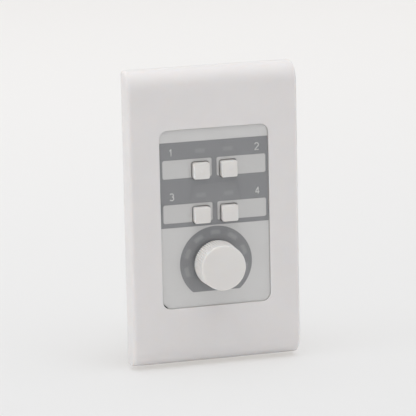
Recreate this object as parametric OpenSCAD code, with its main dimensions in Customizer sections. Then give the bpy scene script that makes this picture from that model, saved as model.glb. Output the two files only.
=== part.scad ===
// Wall-mounted audio control panel: a single-gang plate with a clear window, four push buttons
// and an endless volume knob. X runs to the right, Y into the wall and Z up.
// The origin is midway between the two wall box screws, on the plane of the wall.

/* [Wall plate] */
// Width of the wall plate
plate_w = 70; // [66:0.5:80]
// Height of the wall plate
plate_h = 120; // [114:0.5:130]
// Depth of the wall plate, from the wall to its front face
plate_t = 9.6; // [9:0.1:12]
// Radius of the rolled top and bottom edges
plate_roll = 7.5; // [5:0.1:8.5]
// Round on the side edges
plate_edge = 1.4; // [0.6:0.1:2]
// Wall thickness of the plate
plate_wall = 2.2; // [1.8:0.1:2.6]

/* [Window] */
// Width of the window opening
window_w = 45.2; // [44:0.1:48]
// Height of the window opening
window_h = 72.6; // [71:0.1:76]
// Corner radius of the window opening
window_r = 3.5; // [2:0.1:5]
// Gap between the window opening and the lens
window_gap = 0.2; // [0.1:0.05:0.4]
// Thickness of the clear lens
lens_t = 0.5; // [0.4:0.1:1]
// Depth of the cut corner by which the lens is lifted out
pry_cut = 0.3; // [0.2:0.05:0.5]
// Thickness of the printed label sheet
label_t = 0.2; // [0.15:0.05:0.3]
// Thickness of the dark print film
film_t = 0.1; // [0.1:0.05:0.2]
// Thickness of the floor behind the window
floor_t = 1.8; // [1.5:0.1:2]
// Border of the floor round the window opening
floor_border = 1.8; // [1.4:0.1:2.2]

/* [Label] */
// Height of the upper row of name strips above the middle
strip_row_z = 20.3; // [19.5:0.1:21]
// Distance between the two rows
row_pitch = 18; // [17:0.1:19]
// Height of a name strip
strip_h = 7.55; // [6.5:0.05:8]
// Corner radius of a name strip
strip_r = 0.8; // [0.4:0.1:1.2]
// Dark bar between the left and right name strips
strip_gap = 2; // [1.5:0.1:3]
// Margin from the window opening to a name strip
strip_margin = 1.2; // [0.8:0.1:1.6]
// Top of the dark band
band_top = 31.15; // [30.5:0.05:32]
// Bottom of the dark band
band_bottom = -3.3; // [-3.6:0.05:-2.6]
// Radius of the dark field round the knob
field_r = 15; // [14:0.1:15.2]
// Drop from the knob's axis to the flat edge of the dark field
field_drop = 11.4; // [10.8:0.1:12]

/* [Buttons] */
// Distance between the two columns of buttons
column_pitch = 11.5; // [11:0.1:12.5]
// Drop from a name strip's middle to its button's middle
button_drop = 1; // [0.5:0.1:1.4]
// Side of a button
button_w = 6.6; // [6:0.1:7]
// Corner radius of a button
button_r = 0.9; // [0.8:0.1:1.6]
// Round on a button's front edges
button_round = 0.6; // [0.3:0.05:0.7]
// Height of a button above the window
button_proud = 2; // [0.8:0.1:2.4]
// Radius of the slight crown on a button's front
button_crown_r = 45; // [30:1:80]
// Travel of a button
button_travel = 0.3; // [0.2:0.05:0.4]
// Gap between a button and the window lens
button_lens_gap = 0.4; // [0.3:0.05:0.5]
// Gap between a button and the floor behind the window
button_floor_gap = 0.35; // [0.15:0.05:0.4]
// Side of a button's flange
flange_w = 8.6; // [8.2:0.1:9.2]
// Thickness of a button's flange
flange_t = 0.9; // [0.7:0.1:1.2]
// Radius of the pip that pushes the switch plunger
pip_r = 1.5; // [1:0.1:1.6]
// Height of the pip
pip_t = 0.2; // [0.1:0.05:0.4]

/* [Lights] */
// Width of a light window
light_w = 3.4; // [2.8:0.1:4]
// Height of a light window
light_h = 1.5; // [1.2:0.1:1.8]
// Rise from a name strip's middle to its button's light
light_rise = 6.9; // [6.4:0.1:7.2]
// Number of level lights
level_count = 7; // [5:2:7]
// Angle between two level lights
level_pitch = 34.6; // [30:0.1:36]
// Radius of the arc of level lights
level_r = 12.5; // [12:0.1:12.8]
// Gap round a light guide in the floor
guide_gap = 0.05; // [0.05:0.01:0.1]
// Border of a light guide's collar behind the floor
collar_border = 0.6; // [0.4:0.1:0.7]
// Thickness of a light guide's collar
collar_t = 0.8; // [0.6:0.1:1.2]
// Length of a light-emitting chip
led_l = 1.6; // [1.2:0.1:2]
// Width of a light-emitting chip
led_w = 0.8; // [0.6:0.1:1]
// Thickness of a light-emitting chip
led_t = 0.6; // [0.5:0.1:0.8]
// Gap between a light-emitting chip and its light guide
led_gap = 0.3; // [0.2:0.05:0.5]

/* [Volume knob] */
// Drop from the plate's middle to the knob's axis
knob_drop = 18.8; // [18.2:0.1:19]
// Radius of the knob over its ribs, at its back
knob_r = 9.5; // [8.5:0.1:10]
// How much less the radius is at the knob's front
knob_draft = 0.35; // [0.1:0.05:0.4]
// Height of the knob
knob_h = 9.5; // [8:0.1:11]
// Gap between the knob and the window
knob_lift = 0.8; // [0.3:0.1:1]
// Round on the knob's front edge
knob_round = 0.5; // [0.3:0.1:0.7]
// Height of the smooth band at the knob's front
knob_band = 0.8; // [0.7:0.1:2]
// Number of ribs on the knob's side
rib_count = 60; // [48:1:90]
// Depth of a rib at the knob's back
rib_depth = 0.45; // [0.2:0.05:0.5]
// Wall thickness of the knob
knob_wall = 1.6; // [1.2:0.1:2]
// Thickness of the knob's front
knob_front = 1.7; // [1.3:0.1:2.2]
// Radius of the knob's inner boss
knob_boss_r = 5; // [4.4:0.1:5.4]
// Thickness of the webs between boss and wall
knob_web = 1; // [0.8:0.1:1.4]

/* [Encoder] */
// Side of the encoder's body
encoder_w = 12; // [11:0.1:13]
// Thickness of the encoder's body
encoder_t = 5.5; // [5:0.1:5.8]
// Radius of the encoder's bushing
bushing_r = 3.5; // [3.4:0.05:4]
// Length of the encoder's bushing
bushing_l = 5; // [4.5:0.1:5.2]
// Radius of the encoder's shaft
shaft_r = 3; // [2.5:0.05:3]
// Distance from the shaft's axis to its flat
shaft_flat = 1.5; // [1.2:0.1:2]
// Running clearance of the shaft in its bushing, and of the knob on the shaft
shaft_gap = 0.05; // [0.03:0.01:0.08]
// Clearance at the ends of the shaft and of the bushing
shaft_end_gap = 0.3; // [0.2:0.05:0.5]
// Depth of the shaft inside the encoder's body
shaft_seat = 3.2; // [2:0.1:4]
// Clearance of the floor round the bushing
bushing_gap = 0.5; // [0.3:0.1:0.8]

/* [Switches] */
// Side of a switch body
switch_w = 6; // [5.5:0.1:6.5]
// Thickness of a switch body
switch_t = 3.4; // [3:0.1:3.8]
// Height of a switch plunger's top above the board
switch_h = 5; // [4.6:0.1:6]
// Radius of a switch plunger
plunger_r = 1.75; // [1.6:0.05:2]
// Clearance round a switch plunger
plunger_gap = 0.1; // [0.05:0.01:0.15]
// Depth of a switch plunger inside its body
plunger_seat = 0.9; // [0.6:0.1:1.2]

/* [Front board] */
// Width of the front board
front_board_w = 38; // [36:0.5:39]
// Height of the front board
front_board_h = 60; // [59:0.5:66]
// Gap between the front board and the edges of the opening that it sits in
board_gap = 1.5; // [1.3:0.1:1.7]
// Thickness of both boards
board_t = 1.6; // [1.2:0.1:2]
// Distance from a board's edges to its screws
board_screw_inset = 3; // [2.6:0.1:3.4]
// Side of the chassis posts that hold the front board
post_w = 6; // [5:0.1:6.4]

/* [Chassis and yoke] */
// Width of the inner chassis on each side of its opening
chassis_side = 7.5; // [6.5:0.1:8.5]
// Height of the inner chassis above and below its opening
chassis_end = 6.5; // [5.5:0.1:8.5]
// Thickness of the inner chassis
chassis_t = 3; // [2.5:0.1:3.2]
// Distance of the chassis screws from the level of the opening's top and bottom edges
chassis_screw_drop = 1.5; // [0.5:0.1:3.5]
// Width of the mounting yoke on each side of the opening
yoke_side = 6.5; // [5.5:0.1:7.5]
// Height of the mounting yoke
yoke_h = 104; // [100:0.5:108]
// Width of the yoke's ends
yoke_end_w = 36; // [28:0.5:40]
// Height of the yoke's wide middle above and below the opening
yoke_end = 7; // [4.5:0.1:7.5]
// Thickness of the yoke
yoke_t = 1.5; // [1.2:0.1:2]
// Corner radius of the yoke
yoke_r = 2; // [1:0.1:3]
// Distance between the two wall box screws
box_spacing = 83.5; // [83:0.1:84]
// Diameter of the wall box screw holes
box_hole_d = 4.5; // [4.2:0.1:5]
// Height of the snap arms above and below the middle
snap_z = 18; // [14:0.5:22]
// Width of a snap arm
snap_w = 10; // [8:0.5:12]
// Thickness of a snap arm
snap_t = 1.5; // [1.2:0.1:1.7]
// Width of the ledge that a snap arm hooks
ledge_w = 1.2; // [0.9:0.1:1.4]
// Thickness of that ledge
ledge_t = 1.2; // [0.9:0.1:1.6]
// Clearance beside a snap arm
snap_gap = 0.3; // [0.2:0.05:0.4]
// Length of a snap arm's hook
hook_l = 1.4; // [1.2:0.1:1.6]

/* [Rear housing] */
// Width of the rear housing past the opening, on each side
housing_side = 2.5; // [2:0.1:3.5]
// Height of the rear housing past the opening, above and below
housing_end = 1.5; // [1.3:0.1:2]
// Depth of the rear housing at its sockets
housing_d = 28; // [27.5:0.1:31]
// Wall thickness of the rear housing
housing_wall = 1.8; // [1.5:0.1:2]
// Corner radius of the rear housing
housing_r = 3; // [2:0.1:4]
// Round on the rear edges of the rear housing
housing_edge = 1.2; // [0.6:0.1:1.6]
// Height of the housing's step above the middle
step_z = 1; // [0:0.5:2]
// Distance of the housing's lugs from the middle, sideways
lug_x = 16; // [13:0.5:17]
// Distance of the housing's lugs from its top and bottom edges
lug_rise = 4; // [3.8:0.1:4.5]
// Radius of a housing lug
lug_r = 4; // [3.5:0.1:4.4]
// Thickness of a housing lug
lug_t = 2; // [1.6:0.1:2.6]
// Radius of a board post in the housing
stud_r = 2.3; // [2:0.1:2.6]

/* [Network sockets] */
// Side of a network socket
socket_w = 16; // [15.6:0.1:16.4]
// Depth of a network socket
socket_d = 14.4; // [13.8:0.1:15]
// Distance between the two network sockets
socket_pitch = 18.4; // [17.6:0.1:19]
// Drop from the middle to the network sockets
socket_drop = 16; // [15:0.1:16.5]
// Width of a socket's cavity
cavity_w = 11.9; // [11.8:0.05:12.1]
// Height of a socket's cavity
cavity_h = 6.8; // [6.6:0.05:7]
// Depth of a socket's cavity
cavity_d = 12.4; // [12:0.1:13]
// Height of the cavity's middle above the socket's middle
cavity_rise = 1; // [0.6:0.1:1.4]
// Widths of the catch notch below the cavity: wide step
notch_wide = 6.2; // [6:0.1:6.6]
// Widths of the catch notch below the cavity: narrow step
notch_narrow = 3.4; // [3.2:0.1:3.8]
// Height of each step of the catch notch
notch_h = 1.3; // [1:0.1:1.5]
// Number of contacts in a socket
contact_count = 8; // [6:1:8]
// Distance between two contacts
contact_pitch = 1.02; // [1:0.01:1.1]
// Width of a contact
contact_w = 0.45; // [0.35:0.05:0.5]
// Thickness of a contact
contact_t = 0.3; // [0.25:0.05:0.35]
// Rise of a contact's sprung end
contact_lift = 1.4; // [1.2:0.1:1.6]

/* [Address switch] */
// Distance between two levers
lever_pitch = 2.54; // [2.5:0.01:2.6]
// Width of the address switch
dip_h = 6.4; // [6.2:0.1:7]
// Thickness of the address switch
dip_t = 3.8; // [3.4:0.1:4.2]
// Height of the address switch above the middle
dip_z = 17; // [15:0.5:18]
// Width of a lever
lever_w = 1.1; // [1:0.05:1.3]
// Length of a lever along its slide
lever_l = 1.5; // [1.2:0.1:1.6]
// Height of a lever above the address switch
lever_proud = 0.9; // [0.7:0.1:1.1]
// Depth of a lever inside the address switch
lever_seat = 1.5; // [1.2:0.1:1.8]
// Travel of a lever
lever_travel = 2; // [1.6:0.1:2.2]
// Clearance round a lever
lever_gap = 0.1; // [0.05:0.01:0.15]
// Depth of a lever's top below the housing's outer face
lever_shade = 0.2; // [0.1:0.05:0.4]

/* [Inner electronics] */
// Number of pins in a row of the pin header
pin_count = 5; // [4:1:6]
// Distance between two pins
pin_pitch = 2.54; // [2.5:0.01:2.6]
// Side of a pin
pin_w = 0.64; // [0.5:0.02:0.7]
// Length of a pin outside its header
pin_l = 6; // [5:0.1:7]
// Thickness of the pin header's base
header_t = 2.5; // [2:0.1:3]
// Height of the pin header above the middle
header_z = 22; // [20:0.5:24]
// Side of the controller chip
chip_w = 10; // [8:0.5:12]
// Side of the light driver chip
driver_w = 6; // [5:0.5:8]
// Thickness of a chip
chip_t = 1.4; // [1:0.1:1.8]
// Radius of a capacitor
capacitor_r = 3; // [2.5:0.1:3.5]
// Height of a capacitor
capacitor_h = 6; // [5:0.1:7]
// Distance between the two capacitors
capacitor_pitch = 8.2; // [7.5:0.1:10]
// Clearance between pieces that slip together by hand
slip_gap = 0.1; // [0.05:0.01:0.15]

/* [Screws] */
// Radius of the large screws
big_screw_r = 1.5; // [1.3:0.05:1.6]
// Radius of a large screw's head
big_head_r = 2.7; // [2.5:0.1:2.8]
// Thickness of a large screw's head
big_head_t = 1.6; // [1.2:0.1:1.8]
// Depth of the pocket that a chassis screw's head sits in
head_pocket = 1; // [0.8:0.1:1.4]
// Radius of the small screws
small_screw_r = 0.95; // [0.8:0.05:1]
// Radius of a small screw's head
small_head_r = 1.9; // [1.6:0.1:2]
// Thickness of a small screw's head
small_head_t = 1.2; // [1:0.1:1.4]
// Length of a small screw below its head
small_screw_l = 4; // [3.4:0.1:4]
// Clearance round a screw's shank
screw_gap = 0.05; // [0.03:0.01:0.1]
// Depth of the cross recess in a screw's head
recess_d = 0.7; // [0.4:0.1:0.8]
// Width of the cross recess
recess_w = 0.6; // [0.4:0.05:0.7]
// Length of the cross recess for each millimetre of the head's radius
recess_span = 1.2; // [1:0.1:1.5]

/* [Hidden] */
// Fineness of round shapes
$fn = 64;
// Fineness of the wide round on a button's front
crown_fn = 512;
// Number of levers on the address switch
lever_count = 6;
// Reach of a cutting shape past the face it cuts
reach = 1;
// Depth by which fused walls run into each other
bite = 0.5;
// Smallest round on an inside edge
inner_edge = 0.2;
// Angle that points straight up
up_angle = 90;

// Levels along Y, from the front face back into the wall
front_y = -plate_t;
lens_back = front_y + lens_t;
film_back = lens_back + film_t;
floor_front = film_back + label_t;
floor_back = floor_front + floor_t;
flange_back = floor_back + flange_t;
plunger_top = flange_back + pip_t;
board_front = plunger_top + switch_h;
board_back = board_front + board_t;
switch_front = board_front - switch_t;
led_front = board_front - led_t;
encoder_front = board_front - encoder_t;
bushing_tip = encoder_front - bushing_l;
knob_back = front_y - knob_lift;
knob_tip = knob_back - knob_h;
shaft_tip = knob_tip + knob_front + shaft_end_gap;
yoke_front = -yoke_t;
chassis_front = yoke_front - chassis_t;
ledge_back = chassis_front + ledge_t;
main_back = housing_d - socket_d;
main_front = main_back - board_t;
dip_face = main_back + dip_t;
lever_tip = dip_face + lever_proud;
step_d = lever_tip + lever_shade;
header_back = board_back + header_t;

// Places across the front
lens_w = window_w - 2 * window_gap;
lens_h = window_h - 2 * window_gap;
lens_r = window_r - window_gap;
strip_w = (window_w - strip_gap) / 2 - strip_margin;
level_span = (level_count - 1) * level_pitch;
opening_w = front_board_w + 2 * board_gap;
opening_h = front_board_h + 2 * board_gap;
chassis_w = opening_w + 2 * chassis_side;
chassis_h = opening_h + 2 * chassis_end;
chassis_screw_x = (chassis_w + opening_w) / 4;
chassis_screw_z = opening_h / 2 - chassis_screw_drop;
yoke_w = opening_w + 2 * yoke_side;
yoke_middle_h = opening_h + 2 * yoke_end;
housing_w = opening_w + 2 * housing_side;
housing_h = opening_h + 2 * housing_end;
lug_z = housing_h / 2 + lug_rise;
post_x = front_board_w / 2 - board_screw_inset;
post_z = front_board_h / 2 - board_screw_inset;
main_w = housing_w - 2 * housing_wall - 2 * slip_gap;
main_h = housing_h - 2 * housing_wall - 2 * slip_gap;
stud_x = main_w / 2 - board_screw_inset;
stud_z = main_h / 2 - board_screw_inset;
dip_w = lever_count * lever_pitch + lever_l;
lever_rest = -lever_travel / 2;
arm_x = chassis_w / 2 + ledge_w + snap_gap;

// Place of button n, and of its light: 1 and 2 above, 3 and 4 below
function button_x(n) = (n % 2 == 1 ? -1 : 1) * column_pitch / 2;
function row_z(n) = strip_row_z - (n > 2 ? row_pitch : 0);
function button_z(n) = row_z(n) - button_drop;
function light_z(n) = row_z(n) + light_rise;
// Angle of level light n, counted from 0, clockwise from the lower left
function level_angle(n) = up_angle + level_span / 2 - n * level_pitch;
// Sideways place of a lever, counted from 1
function lever_x(n) = (n - (lever_count + 1) / 2) * lever_pitch;

// Draws a flat outline in X and Z as a slab between two levels of Y
module slab(front, back) {
    translate([0, back, 0])
        rotate([90, 0, 0])
            linear_extrude(back - front)
                children();
}

// Round bar along Y between two levels
module rod(r, front, back) {
    translate([0, back, 0])
        rotate([90, 0, 0])
            cylinder(r = r, h = back - front);
}

// Flat rectangle with round corners
module round_rect(w, h, r) {
    square([w - 2 * r, h], center = true);
    square([w, h - 2 * r], center = true);
    for (x = [-1, 1])
        for (y = [-1, 1])
            translate([x * (w / 2 - r), y * (h / 2 - r)])
                circle(r);
}

// Moves its children to the four corners of a rectangle in X and Z
module at_corners(x, z) {
    for (sx = [-1, 1])
        for (sz = [-1, 1])
            translate([sx * x, 0, sz * z])
                children();
}

// Mirrors its children, drawn at the upper right, into all four quarters
module in_quarters() {
    for (mx = [0, 1])
        for (mz = [0, 1])
            mirror([mx, 0, 0])
                mirror([0, 0, mz])
                    children();
}

// Moves its children to the axis of the knob
module on_knob_axis() {
    translate([0, 0, -knob_drop])
        children();
}

// Half outline of a screw's pan head, from its seat up
module head_outline(r, t) {
    round = t / 2;
    square([r, t - round]);
    square([r - round, t]);
    translate([r - round, t - round])
        circle(round);
}

// Screw along Y with its head seated at the given level; the shank runs towards tip
module screw(shank_r, head_r, head_t, seat, tip) {
    head_side = tip > seat ? -1 : 1;
    rod(shank_r, min(seat, tip), max(seat, tip));
    translate([0, seat, 0])
        rotate([-90 * head_side, 0, 0])
            difference() {
                rotate_extrude()
                    head_outline(head_r, head_t);
                translate([0, 0, head_t - recess_d])
                    linear_extrude(recess_d + reach) {
                        square([recess_span * head_r, recess_w], center = true);
                        square([recess_w, recess_span * head_r], center = true);
                    }
            }
}

// Half outline of a rolled edge, with its ends rounded
module roll_outline(w, roll, edge) {
    translate([0, -w / 2])
        square([roll - edge, w]);
    translate([0, edge - w / 2])
        square([roll, w - 2 * edge]);
    for (s = [-1, 1])
        translate([roll - edge, s * (w / 2 - edge)])
            circle(edge);
}

// Block whose top and bottom edges roll back from the front face
module plate_form(w, h, t, roll, edge, extra) {
    slab(roll - t, extra)
        round_rect(w, h, edge);
    translate([0, 0, roll - h / 2])
        linear_extrude(h - 2 * roll)
            front_section(w, t, roll, edge);
    for (m = [0, 1])
        mirror([0, 0, m])
            translate([0, roll - t, roll - h / 2])
                rotate([0, 90, 0])
                    rotate([0, 0, -90])
                        rotate_extrude(angle = 90)
                            intersection() {
                                roll_outline(w, roll, edge);
                                translate([0, -w / 2])
                                    square([roll, w]);
                            }
}

// Cross-section of the front of the plate, with round side edges
module front_section(w, t, depth, edge) {
    translate([-w / 2, edge - t])
        square([w, depth - edge]);
    translate([edge - w / 2, -t])
        square([w - 2 * edge, depth]);
    for (s = [-1, 1])
        translate([s * (w / 2 - edge), edge - t])
            circle(edge);
}

// Upper right arm of the plate, which hooks behind a ledge of the chassis
module snap_arm() {
    translate([arm_x, front_y + plate_wall - bite, snap_z - snap_w / 2])
        cube([snap_t, ledge_back + hook_l - front_y - plate_wall + bite, snap_w]);
    translate([0, 0, snap_z - snap_w / 2])
        linear_extrude(snap_w)
            polygon([
                [arm_x + bite, ledge_back],
                [arm_x - ledge_w, ledge_back],
                [arm_x, ledge_back + hook_l],
                [arm_x + bite, ledge_back + hook_l]
            ]);
}

// Square holes for the four buttons
module button_holes(gap) {
    for (n = [1:4])
        translate([button_x(n), button_z(n)])
            round_rect(button_w + 2 * gap, button_w + 2 * gap, button_r + gap);
}

// Outlines of the light windows, wider by a gap
module light_holes(gap) {
    for (n = [1:4])
        translate([button_x(n), light_z(n)])
            square([light_w + 2 * gap, light_h + 2 * gap], center = true);
    level_windows(gap);
}

module level_windows(gap) {
    translate([0, -knob_drop])
        for (n = [0:level_count - 1])
            rotate(level_angle(n))
                translate([level_r, 0])
                    square([light_h + 2 * gap, light_w + 2 * gap], center = true);
}

// Hole round the encoder's bushing
module bushing_hole() {
    translate([0, -knob_drop])
        circle(bushing_r + bushing_gap);
}

module wall_plate() {
    color("ivory")
        difference() {
            union() {
                difference() {
                    plate_form(plate_w, plate_h, plate_t, plate_roll, plate_edge, 0);
                    plate_form(plate_w - 2 * plate_wall, plate_h - 2 * plate_wall, plate_t - plate_wall,
                        plate_roll - plate_wall, plate_edge / 2, reach);
                }
                slab(front_y + plate_wall - bite, floor_back)
                    round_rect(window_w + 2 * floor_border, window_h + 2 * floor_border,
                        window_r + floor_border);
                in_quarters()
                    snap_arm();
            }
            slab(front_y - reach, floor_front)
                round_rect(window_w, window_h, window_r);
            slab(floor_front - reach, floor_back + reach) {
                button_holes(button_floor_gap);
                light_holes(guide_gap);
                bushing_hole();
            }
        }
}

// Outline of the lens and its label, with a cut corner at the lower left for lifting them out
module lens_outline() {
    corner_cut = lens_r * (sqrt(2) - 1) + pry_cut;
    difference() {
        round_rect(lens_w, lens_h, lens_r);
        translate([-lens_w / 2, -lens_h / 2])
            rotate(45)
                square(2 * corner_cut, center = true);
    }
}

module window_lens() {
    color("whitesmoke", 0.4)
        slab(front_y, lens_back)
            difference() {
                lens_outline();
                button_holes(button_lens_gap);
                bushing_hole();
            }
}

module label_sheet() {
    color("silver")
        slab(film_back, floor_front)
            difference() {
                lens_outline();
                button_holes(button_lens_gap);
                light_holes(guide_gap);
                bushing_hole();
            }
}

// Pale name strips beside the buttons, cut out of the dark band
module name_strips() {
    for (n = [1:4])
        translate([(n % 2 == 1 ? -1 : 1) * (strip_gap + strip_w) / 2, row_z(n)])
            round_rect(strip_w, strip_h, strip_r);
}

module label_film() {
    color("slategray")
        slab(lens_back, film_back)
            difference() {
                union() {
                    difference() {
                        translate([-lens_w / 2, band_bottom])
                            square([lens_w, band_top - band_bottom]);
                        name_strips();
                    }
                    intersection() {
                        translate([0, -knob_drop])
                            circle(field_r);
                        translate([-field_r, -knob_drop - field_drop])
                            square([2 * field_r, field_drop + field_r]);
                    }
                }
                button_holes(button_lens_gap);
                bushing_hole();
            }
}

module button_light_guides() {
    color("white", 0.7)
        for (n = [1:4])
            translate([button_x(n), 0, light_z(n)]) {
                slab(floor_front, led_front - led_gap)
                    square([light_w, light_h], center = true);
                slab(floor_back, floor_back + collar_t)
                    square([light_w + 2 * collar_border, light_h + 2 * collar_border], center = true);
            }
}

module level_light_guide() {
    web_r = light_h / 2 + collar_border;
    end_angle = (light_w / 2 + collar_border) / level_r * 180 / PI;
    color("white", 0.7) {
        slab(floor_front, led_front - led_gap)
            level_windows(0);
        on_knob_axis()
            translate([0, floor_back + collar_t, 0])
                rotate([90, 0, 0])
                    rotate([0, 0, up_angle - level_span / 2 - end_angle])
                        rotate_extrude(angle = level_span + 2 * end_angle)
                            translate([level_r - web_r, 0])
                                square([2 * web_r, collar_t]);
    }
}

// Outline of a button's side view, rounded at the front
module cap_section() {
    front_section(button_w, plate_t + button_proud, floor_back + plate_t + button_proud, button_round);
}

// Round block with a crowned front, which a button's cap is cut to
module crown_block() {
    translate([0, front_y - button_proud, 0])
        rotate([-90, 0, 0])
            rotate_extrude()
                intersection() {
                    translate([0, button_crown_r])
                        circle(button_crown_r, $fn = crown_fn);
                    square([button_w, floor_back - front_y + button_proud]);
                }
}

module button_cap(n) {
    color("ivory")
        translate([button_x(n), 0, button_z(n)]) {
            intersection() {
                slab(front_y - button_proud, floor_back)
                    round_rect(button_w, button_w, button_r);
                translate([0, 0, -button_w])
                    linear_extrude(2 * button_w)
                        cap_section();
                rotate([0, 90, 0])
                    translate([0, 0, -button_w])
                        linear_extrude(2 * button_w)
                            cap_section();
                crown_block();
            }
            slab(floor_back, flange_back)
                round_rect(flange_w, flange_w, button_r);
            rod(pip_r, flange_back, plunger_top);
        }
}

module switch_plunger(n) {
    color("dimgray")
        translate([button_x(n), 0, button_z(n)])
            rod(plunger_r, plunger_top, switch_front + plunger_seat);
}

module switch_bodies() {
    color("black")
        for (n = [1:4])
            translate([button_x(n), 0, button_z(n)])
                difference() {
                    slab(switch_front, board_front)
                        square(switch_w, center = true);
                    rod(plunger_r + plunger_gap, switch_front - reach,
                        switch_front + plunger_seat + button_travel + plunger_gap);
                }
}

module front_board() {
    color("darkgreen")
        difference() {
            slab(board_front, board_back)
                square([front_board_w, front_board_h], center = true);
            at_corners(post_x, post_z)
                rod(small_screw_r + screw_gap, board_front - reach, board_back + reach);
        }
}

module button_leds() {
    color("palegreen")
        for (n = [1:4])
            translate([button_x(n), 0, light_z(n)])
                slab(led_front, board_front)
                    square([led_l, led_w], center = true);
}

module level_leds() {
    color("palegreen")
        slab(led_front, board_front)
            translate([0, -knob_drop])
                for (n = [0:level_count - 1])
                    rotate(level_angle(n))
                        translate([level_r, 0])
                            square([led_w, led_l], center = true);
}

module encoder_body() {
    color("gray")
        on_knob_axis()
            difference() {
                union() {
                    slab(encoder_front, board_front)
                        square(encoder_w, center = true);
                    rod(bushing_r, bushing_tip, encoder_front);
                }
                rod(shaft_r + shaft_gap, bushing_tip - reach, encoder_front + shaft_seat + shaft_end_gap);
            }
}

// Round outline with a flat on its lower side
module shaft_outline(gap) {
    intersection() {
        circle(shaft_r + gap);
        translate([-2 * shaft_r, -shaft_flat - gap])
            square(4 * shaft_r);
    }
}

module encoder_shaft() {
    color("silver")
        on_knob_axis() {
            rod(shaft_r, bushing_tip, encoder_front + shaft_seat);
            slab(shaft_tip, bushing_tip)
                shaft_outline(0);
        }
}

// Toothed outline of the knob's side, before its rib tips are turned down
module rib_outline() {
    pitch = 360 / rib_count;
    root_r = knob_r - rib_depth;
    tip_r = knob_r + bite;
    // Each rib is a root, a rising flank, a tip and a falling flank, as shares of the pitch
    shape = [[0, root_r], [0.2, root_r], [0.45, tip_r], [0.75, tip_r]];
    polygon([
        for (n = [0:rib_count - 1])
            for (p = shape)
                p[1] * [cos((n + p[0]) * pitch), sin((n + p[0]) * pitch)]
    ]);
}

// Half outline of the knob's smooth front, from its front face back
module knob_front_outline() {
    r = knob_r - knob_draft;
    square([r - knob_round, knob_band]);
    translate([0, knob_round])
        square([r, knob_band - knob_round]);
    intersection() {
        translate([r - knob_round, knob_round])
            circle(knob_round);
        square([r, knob_band]);
    }
}

// Ribbed side of the knob, which narrows towards the front
module knob_side() {
    side_front = knob_tip + knob_band;
    intersection() {
        slab(side_front, knob_back)
            rib_outline();
        translate([0, side_front, 0])
            rotate([-90, 0, 0])
                cylinder(h = knob_back - side_front, r1 = knob_r - knob_draft, r2 = knob_r);
    }
}

module volume_knob() {
    cavity_r = knob_r - knob_wall;
    color("ivory")
        on_knob_axis()
            difference() {
                union() {
                    knob_side();
                    translate([0, knob_tip, 0])
                        rotate([-90, 0, 0])
                            rotate_extrude()
                                knob_front_outline();
                }
                slab(knob_tip + knob_front, knob_back + reach)
                    difference() {
                        circle(cavity_r);
                        circle(knob_boss_r);
                        square([2 * knob_r, knob_web], center = true);
                        square([knob_web, 2 * knob_r], center = true);
                    }
                rod(cavity_r, bushing_tip - shaft_end_gap, knob_back + reach);
                slab(shaft_tip - shaft_end_gap, knob_back)
                    shaft_outline(shaft_gap);
            }
}

// Upper right ledge of the chassis, which a snap arm hooks
module snap_ledge() {
    translate([chassis_w / 2 - bite, chassis_front, snap_z - snap_w / 2])
        cube([ledge_w + bite, ledge_t, snap_w]);
}

// Upper right post of the chassis, which the front board is screwed to
module board_post() {
    inner_x = opening_w / 2 - post_w;
    inner_z = opening_h / 2 - post_w;
    slab(chassis_front, min(yoke_front, board_front))
        translate([inner_x, inner_z])
            square(post_w + bite);
    slab(chassis_front, board_front)
        translate([inner_x, inner_z])
            square(post_w - slip_gap);
}

module inner_chassis() {
    color("dimgray")
        difference() {
            union() {
                slab(chassis_front, yoke_front)
                    difference() {
                        round_rect(chassis_w, chassis_h, yoke_r);
                        square([opening_w, opening_h], center = true);
                    }
                in_quarters() {
                    snap_ledge();
                    board_post();
                }
            }
            at_corners(post_x, post_z)
                rod(small_screw_r + screw_gap, board_back - small_screw_l - screw_gap, board_front + reach);
            at_corners(chassis_screw_x, chassis_screw_z) {
                rod(big_screw_r + screw_gap, chassis_front - reach, yoke_front + reach);
                rod(big_head_r + slip_gap, chassis_front - reach, chassis_front + head_pocket);
            }
        }
}

module chassis_screws() {
    color("silver")
        at_corners(chassis_screw_x, chassis_screw_z)
            screw(big_screw_r, big_head_r, big_head_t, chassis_front + head_pocket, 0);
}

module front_board_screws() {
    color("silver")
        at_corners(post_x, post_z)
            screw(small_screw_r, small_head_r, small_head_t, board_back, board_back - small_screw_l);
}

// Outline of the yoke: a wide middle with narrower ends
module yoke_outline() {
    round_rect(yoke_end_w, yoke_h, yoke_r);
    round_rect(yoke_w, yoke_middle_h, yoke_r);
}

module mounting_yoke() {
    color("lightgray")
        difference() {
            slab(yoke_front, 0)
                difference() {
                    yoke_outline();
                    square([opening_w, opening_h], center = true);
                }
            for (s = [-1, 1])
                translate([0, 0, s * box_spacing / 2])
                    rod(box_hole_d / 2, yoke_front - reach, reach);
            at_corners(chassis_screw_x, chassis_screw_z)
                rod(big_screw_r + screw_gap, yoke_front - reach, reach);
            at_corners(lug_x, lug_z)
                rod(big_screw_r + screw_gap, yoke_front - reach, reach);
        }
}

// Places of the pins, in two rows
module pin_grid() {
    for (n = [0:pin_count - 1])
        for (s = [-1, 1])
            translate([(n - (pin_count - 1) / 2) * pin_pitch, s * pin_pitch / 2])
                children();
}

module pin_header() {
    color("black")
        translate([0, 0, header_z]) {
            slab(board_back, header_back)
                square([pin_count * pin_pitch, 2 * pin_pitch], center = true);
            slab(header_back, header_back + pin_l)
                pin_grid()
                    square(pin_w, center = true);
        }
}

module header_socket() {
    color("black")
        translate([0, 0, header_z])
            difference() {
                slab(header_back, main_front)
                    square([pin_count * pin_pitch, 2 * pin_pitch], center = true);
                slab(header_back - reach, header_back + pin_l + slip_gap)
                    pin_grid()
                        square(pin_w + 2 * slip_gap, center = true);
            }
}

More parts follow.
